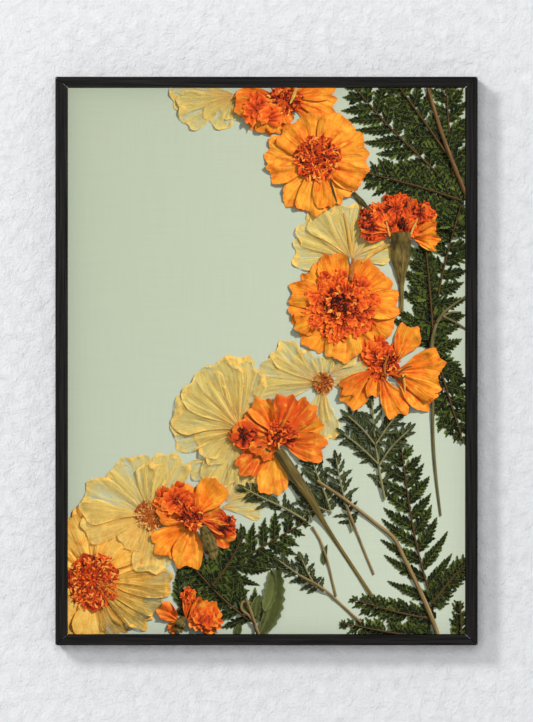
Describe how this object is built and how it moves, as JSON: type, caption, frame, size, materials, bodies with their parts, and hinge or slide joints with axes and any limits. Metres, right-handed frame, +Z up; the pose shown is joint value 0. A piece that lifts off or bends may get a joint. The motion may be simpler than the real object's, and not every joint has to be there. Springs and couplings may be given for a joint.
{
  "type": "pressed flower frame",
  "caption": "Slim black wooden frame with dried marigolds, pale blossoms and fern fronds pressed on a sage card behind glass, hung on a wall by a sawtooth hanger.",
  "frame": {"origin": "on the wall's plane, behind the middle notch of the sawtooth hanger, where the nail carries the frame", "axes": "+Z up, +X to the right as seen from the front, +Y into the wall, so the glass faces -Y"},
  "size_m": [0.2364, 0.02, 0.3184],
  "materials": {
    "black_wood": "satin black with fine lengthwise grain",
    "clear_glass": "clear, polished",
    "sage_card": "matte, fine linen weave",
    "brown_board": "matte hardboard",
    "foam_board": "matte",
    "zinc_steel": "dull zinc",
    "brass_plate": "brass plated, satin",
    "pressed_fern": "matte, dried",
    "pressed_leaf": "matte, dried",
    "pale_leaf": "matte, dried",
    "dry_stem": "matte, dried",
    "dry_calyx": "matte, ribbed, dried",
    "orange_petal": "matte, veined, dried",
    "red_crest": "matte, crumpled, dried",
    "pale_petal": "papery, thin, veined",
    "pale_centre": "matte, fuzzy"
  },
  "bodies": {
    "root": {"backing_board": "brown_board", "backing_card": "sage_card", "brown_stem_right": "dry_stem", "brown_stem_top_corner": "dry_stem", "fern_frond_behind_bud": "pressed_fern", "fern_frond_bottom": "pressed_fern", "fern_frond_lower_middle": "pressed_fern", "fern_frond_lower_right": "pressed_fern", "fern_frond_right": "pressed_fern", "fern_frond_right_edge": "pressed_fern", "fern_frond_top_corner": "pressed_fern", "fern_frond_top_middle": "pressed_fern", "fern_frond_upper": "pressed_fern", "folded_leaf": "pale_leaf", "glass_pane": "clear_glass", "glazing_point_left_lower": "zinc_steel", "glazing_point_left_upper": "zinc_steel", "glazing_point_right_lower": "zinc_steel", "glazing_point_right_upper": "zinc_steel", "hanger_nail_left": "brass_plate", "hanger_nail_right": "brass_plate", "marigold_bud_calyx": "dry_calyx", "marigold_bud_petals": "orange_petal", "marigold_corner_crest": "red_crest", "marigold_corner_petals": "orange_petal", "marigold_large_crest": "red_crest", "marigold_large_petals": "orange_petal", "marigold_leaf_left": "pressed_leaf", "marigold_leaf_lower": "pressed_leaf", "marigold_leaf_middle": "pressed_leaf", "marigold_leaf_upper": "pressed_leaf", "marigold_low_calyx": "dry_calyx", "marigold_low_crest": "red_crest", "marigold_low_petals": "orange_petal", "marigold_open_crest": "red_crest", "marigold_open_petals": "orange_petal", "marigold_red_calyx": "dry_calyx", "marigold_red_crest": "red_crest", "marigold_red_petals": "orange_petal", "marigold_round_crest": "red_crest", "marigold_round_petals": "orange_petal", "marigold_small_calyx": "dry_calyx", "marigold_small_petals": "orange_petal", "marigold_top_crest": "red_crest", "marigold_top_petals": "orange_petal", "pale_blossom_large_petals": "pale_petal", "pale_blossom_low_petals": "pale_petal", "pale_blossom_low_stamens": "pale_centre", "pale_blossom_middle_petals": "pale_petal", "pale_blossom_middle_stamens": "pale_centre", "pale_blossom_top_petals": "pale_petal", "pale_blossom_upper_petals": "pale_petal", "rail_bottom": "black_wood", "rail_left": "black_wood", "rail_right": "black_wood", "rail_top": "black_wood", "sawtooth_hanger": "brass_plate", "spacer": "foam_board", "tan_stem": "dry_stem", "thin_stem_right": "dry_stem"}
  },
  "joints": []
}
